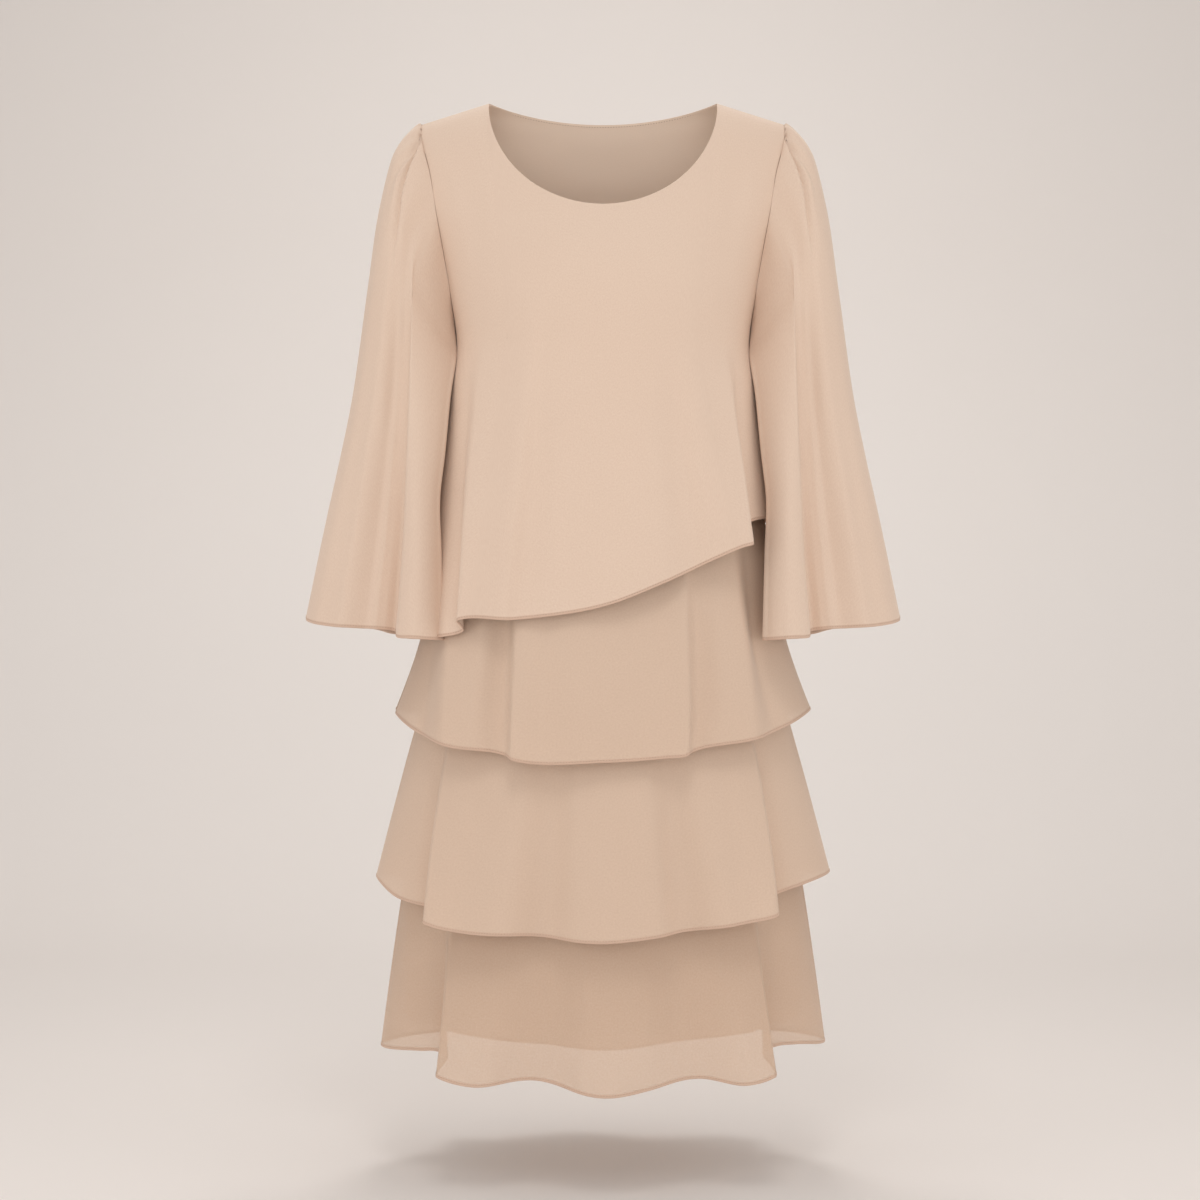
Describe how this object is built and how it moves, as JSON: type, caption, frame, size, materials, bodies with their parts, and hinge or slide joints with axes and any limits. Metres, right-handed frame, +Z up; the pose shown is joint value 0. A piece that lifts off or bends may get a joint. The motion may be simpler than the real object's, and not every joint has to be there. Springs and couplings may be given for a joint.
{
  "type": "ruffle dress",
  "caption": "Hollow worn-shape chiffon dress with a scoop neck, flared three-quarter sleeves, a slanted overlay and tiered ruffles over a lining.",
  "frame": {"origin": "middle of the shoulder line, between the shoulder seams, where the wearer carries the dress", "axes": "+Z up, the front faces -Y, +X to the viewer's right"},
  "size_m": [0.616, 0.3396, 0.9953],
  "materials": {
    "chiffon": "matte crepe chiffon",
    "sheer_chiffon": "sheer crepe chiffon",
    "lining": "plain woven lining"
  },
  "bodies": {
    "root": {"overlay_front": "chiffon", "overlay_back": "chiffon", "slip_front": "lining", "slip_back": "lining", "tier_1_front": "chiffon", "tier_1_back": "chiffon", "tier_2_front": "chiffon", "tier_2_back": "chiffon", "tier_3_front": "sheer_chiffon", "tier_3_back": "sheer_chiffon", "sleeve_left": "chiffon", "sleeve_right": "chiffon"}
  },
  "joints": []
}
